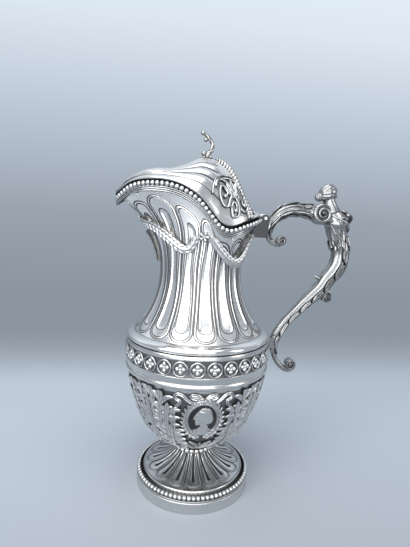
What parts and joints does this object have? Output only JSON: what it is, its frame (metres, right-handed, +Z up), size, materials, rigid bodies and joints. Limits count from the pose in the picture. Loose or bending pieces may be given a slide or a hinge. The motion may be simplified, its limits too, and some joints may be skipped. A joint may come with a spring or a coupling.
{
  "type": "lidded ewer",
  "caption": "Lidded pouring ewer with a lobed foot, full bowl, flaring neck, hinged helmet lid and figural scroll handle.",
  "frame": {"origin": "middle of the foot's resting face", "axes": "+Z up along the axis of the bowl, -X towards the spout, +X towards the handle, Y across, with the two flanks mirrored"},
  "size_m": [0.214, 0.1312, 0.3201],
  "materials": {
    "polished_silver": "polished silver",
    "chased_silver": "chased and matted silver with dark oxidised grounds",
    "fastener_silver": "turned and filed"
  },
  "bodies": {
    "ewer": {"foot_band": "polished_silver", "foot_pearls": "polished_silver", "foot_cove_ring": "polished_silver", "foot_dome": "chased_silver", "stem_collar": "polished_silver", "stem_pearls": "polished_silver", "foot_stud": "fastener_silver", "foot_washer": "fastener_silver", "foot_nut": "fastener_silver", "bowl": "chased_silver", "medallion_plaque_near": "chased_silver", "medallion_plaque_far": "chased_silver", "medallion_wreath_near": "chased_silver", "medallion_wreath_far": "chased_silver", "medallion_bow_near": "chased_silver", "medallion_bow_far": "chased_silver", "belt_band": "chased_silver", "belt_fillet": "polished_silver", "belt_circles": "polished_silver", "belt_flowers": "chased_silver", "shoulder_ring": "polished_silver", "neck": "polished_silver", "rim_moulding": "polished_silver", "rim_pearls": "polished_silver", "garland_swags": "chased_silver", "garland_knots": "chased_silver", "garland_drop": "chased_silver", "hinge_bracket": "polished_silver", "hinge_pin": "fastener_silver", "handle_upper_scroll": "chased_silver", "handle_shoulder_scroll": "chased_silver", "figure_torso": "chased_silver", "figure_head": "chased_silver", "handle_grip": "chased_silver", "handle_lower_volute": "chased_silver", "handle_bud": "chased_silver", "handle_leaf_spur": "chased_silver", "handle_lug": "polished_silver"},
    "lid": {"lid_shell": "polished_silver", "lid_flange": "polished_silver", "lid_bezel": "polished_silver", "lid_arch_band": "chased_silver", "lid_crest_leaf": "chased_silver", "lid_scroll_near": "polished_silver", "lid_scroll_far": "polished_silver", "finial_rosette": "polished_silver", "finial_stem": "polished_silver", "finial_knobs": "polished_silver", "finial_screw": "fastener_silver", "finial_nut": "fastener_silver", "lid_knuckle": "polished_silver"}
  },
  "joints": [
    {"name": "lid_hinge", "type": "hinge", "parent": "ewer", "child": "lid", "pos_m": [0.0548, 0, 0.24798], "axis": [0, 1, 0], "range_deg": [0, 85]}
  ]
}
